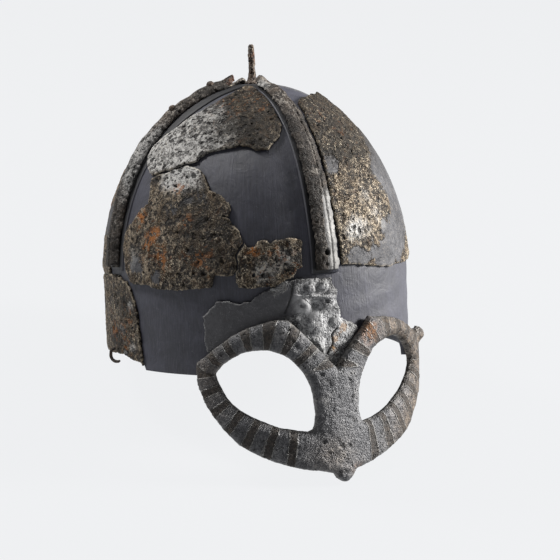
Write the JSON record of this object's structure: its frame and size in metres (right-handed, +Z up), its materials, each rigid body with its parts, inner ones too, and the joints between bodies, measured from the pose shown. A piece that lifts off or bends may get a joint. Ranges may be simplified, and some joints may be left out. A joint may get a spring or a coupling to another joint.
{
  "type": "spectacle helmet",
  "caption": "Restored Norse iron helmet: domed grey filler shell carrying corroded plates, ridge bands, brow fragments, a top spike and an eye guard with a nose piece.",
  "frame": {"origin": "middle of the footprint, on the surface that the helmet rests on with its nose tip and the nape of its rim", "axes": "+Z up, the face looks towards -Y, the wearer's left is +X; the helmet leans back as it rests"},
  "size_m": [0.2102, 0.2826, 0.2341],
  "materials": {
    "filler": "matte, brushed on",
    "plate_iron": "corroded, pitted and flaked",
    "brow_iron": "corroded, partly smooth",
    "band_iron": "corroded, pitted",
    "guard_iron": "corroded, with darker inlaid stripes",
    "fitting_iron": "corroded, rough"
  },
  "bodies": {
    "root": {"filler_shell": "filler", "plate_front_right_upper": "plate_iron", "plate_front_right_lower": "plate_iron", "plate_front_right_corner": "plate_iron", "plate_front_left": "plate_iron", "plate_back_left": "plate_iron", "plate_back_right": "plate_iron", "brow_fragment_side": "brow_iron", "brow_fragment_front": "brow_iron", "band_front": "band_iron", "band_right": "band_iron", "band_back": "band_iron", "band_left": "band_iron", "rivet_right_1": "fitting_iron", "rivet_right_2": "fitting_iron", "rivet_back_1": "fitting_iron", "rivet_back_2": "fitting_iron", "rivet_left_1": "fitting_iron", "rivet_left_2": "fitting_iron", "eye_guard": "guard_iron", "spike": "fitting_iron", "mail_hook": "fitting_iron"}
  },
  "joints": []
}
